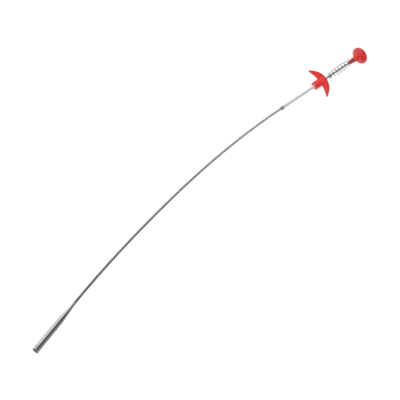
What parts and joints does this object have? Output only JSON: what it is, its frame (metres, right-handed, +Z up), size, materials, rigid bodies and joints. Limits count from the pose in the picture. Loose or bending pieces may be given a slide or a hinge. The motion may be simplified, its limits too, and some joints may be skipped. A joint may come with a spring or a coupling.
{
  "type": "flexible drain claw grabber",
  "caption": "Flexible drain grabber: thumb button, finger grip and return spring on a guide tube, a bending spring sleeve, and a steel barrel from which sprung claws open.",
  "frame": {"origin": "on the handle axis, in the middle of the bare guide tube", "axes": "+X along the tool from the claws towards the thumb button, +Z up from the floor that the tool lies on, the sleeve bends towards -Y"},
  "size_m": [0.5995, 0.1014, 0.0228],
  "materials": {
    "red_plastic": "moulded, satin gloss",
    "bright_steel": "bright drawn steel",
    "sleeve_steel": "close-wound bright spring wire",
    "barrel_steel": "bright nickel-plated steel",
    "spring_steel": "bright spring wire",
    "cable_steel": "stranded steel cable"
  },
  "bodies": {
    "handle": {"guide_tube": "bright_steel", "tube_collar": "barrel_steel", "finger_grip": "red_plastic", "spring_seat": "spring_steel", "return_spring": "spring_steel", "cable_lead": "cable_steel", "sleeve_1": "sleeve_steel", "cable_1": "cable_steel"},
    "plunger": {"thumb_button": "red_plastic", "plunger_rod": "bright_steel", "rod_ferrule": "bright_steel"},
    "length_2": {"sleeve_2": "sleeve_steel", "cable_2": "cable_steel"},
    "length_3": {"sleeve_3": "sleeve_steel", "cable_3": "cable_steel"},
    "length_4": {"sleeve_4": "sleeve_steel", "cable_4": "cable_steel"},
    "length_5": {"sleeve_5": "sleeve_steel", "cable_5": "cable_steel"},
    "length_6": {"sleeve_6": "sleeve_steel", "cable_6": "cable_steel"},
    "head": {"sleeve_7": "sleeve_steel", "cable_7": "cable_steel", "claw_barrel": "barrel_steel"},
    "claw_carrier": {"claw_hub": "spring_steel", "cable_end": "cable_steel"},
    "claw_1": {"claw_1": "spring_steel"},
    "claw_2": {"claw_2": "spring_steel"},
    "claw_3": {"claw_3": "spring_steel"},
    "claw_4": {"claw_4": "spring_steel"}
  },
  "joints": [
    {"name": "plunger_slide", "type": "slide", "parent": "handle", "child": "plunger", "axis": [-0.9991, 0, -0.0419], "range_m": [0, 0.02], "stiffness_N_per_m": 400, "springref_m": -0.006, "deforming": ["return_spring", "cable_lead"]},
    {"name": "sleeve_bend_1", "type": "hinge", "parent": "handle", "child": "length_2", "pos_m": [-0.06131, 0, -0.00257], "axis": [-0.0407, 0.237, 0.9707], "range_deg": [-2.6, 15], "stiffness_Nm_per_rad": 0.12},
    {"name": "sleeve_bend_2", "type": "hinge", "parent": "length_2", "child": "length_3", "pos_m": [-0.12551, -0.00382, -0.00433], "axis": [-0.0407, 0.237, 0.9707], "range_deg": [-2.6, 15], "stiffness_Nm_per_rad": 0.12},
    {"name": "sleeve_bend_3", "type": "hinge", "parent": "length_3", "child": "length_4", "pos_m": [-0.18941, -0.01122, -0.00521], "axis": [-0.0407, 0.237, 0.9707], "range_deg": [-2.6, 15], "stiffness_Nm_per_rad": 0.12},
    {"name": "sleeve_bend_4", "type": "hinge", "parent": "length_4", "child": "length_5", "pos_m": [-0.25293, -0.02142, -0.00538], "axis": [-0.0407, 0.237, 0.9707], "range_deg": [-2.6, 15], "stiffness_Nm_per_rad": 0.12},
    {"name": "sleeve_bend_5", "type": "hinge", "parent": "length_5", "child": "length_6", "pos_m": [-0.3161, -0.03356, -0.00507], "axis": [-0.0407, 0.237, 0.9707], "range_deg": [-2.6, 15], "stiffness_Nm_per_rad": 0.12},
    {"name": "sleeve_bend_6", "type": "hinge", "parent": "length_6", "child": "head", "pos_m": [-0.37885, -0.04773, -0.00424], "axis": [-0.0407, 0.237, 0.9707], "range_deg": [-2.6, 15], "stiffness_Nm_per_rad": 0.12},
    {"name": "claw_slide", "type": "slide", "parent": "head", "child": "claw_carrier", "axis": [-0.9654, -0.2596, 0.0229], "range_m": [0, 0.0201]},
    {"name": "claw_1_spread", "type": "hinge", "parent": "claw_carrier", "child": "claw_1", "pos_m": [-0.46557, -0.07247, -0.003], "axis": [0.1532, -0.4944, 0.8556], "range_deg": [0, 17.05]},
    {"name": "claw_2_spread", "type": "hinge", "parent": "claw_carrier", "child": "claw_2", "pos_m": [-0.46566, -0.07193, -0.00081], "axis": [-0.2108, 0.8295, 0.5171], "range_deg": [0, 17.05]},
    {"name": "claw_3_spread", "type": "hinge", "parent": "claw_carrier", "child": "claw_3", "pos_m": [-0.46624, -0.06981, -0.00135], "axis": [-0.1532, 0.4944, -0.8556], "range_deg": [0, 17.05]},
    {"name": "claw_4_spread", "type": "hinge", "parent": "claw_carrier", "child": "claw_4", "pos_m": [-0.46615, -0.07035, -0.00354], "axis": [0.2108, -0.8295, -0.5171], "range_deg": [0, 17.05]}
  ],
  "couplings": [
    {"joint": "sleeve_bend_2", "follows": "sleeve_bend_1", "ratio": 1},
    {"joint": "sleeve_bend_3", "follows": "sleeve_bend_1", "ratio": 1},
    {"joint": "sleeve_bend_4", "follows": "sleeve_bend_1", "ratio": 1},
    {"joint": "sleeve_bend_5", "follows": "sleeve_bend_1", "ratio": 1},
    {"joint": "sleeve_bend_6", "follows": "sleeve_bend_1", "ratio": 1},
    {"joint": "claw_slide", "follows": "plunger_slide", "ratio": 1},
    {"joint": "claw_1_spread", "follows": "plunger_slide", "rad_per_m": 14.835},
    {"joint": "claw_2_spread", "follows": "plunger_slide", "rad_per_m": 14.835},
    {"joint": "claw_3_spread", "follows": "plunger_slide", "rad_per_m": 14.835},
    {"joint": "claw_4_spread", "follows": "plunger_slide", "rad_per_m": 14.835}
  ]
}
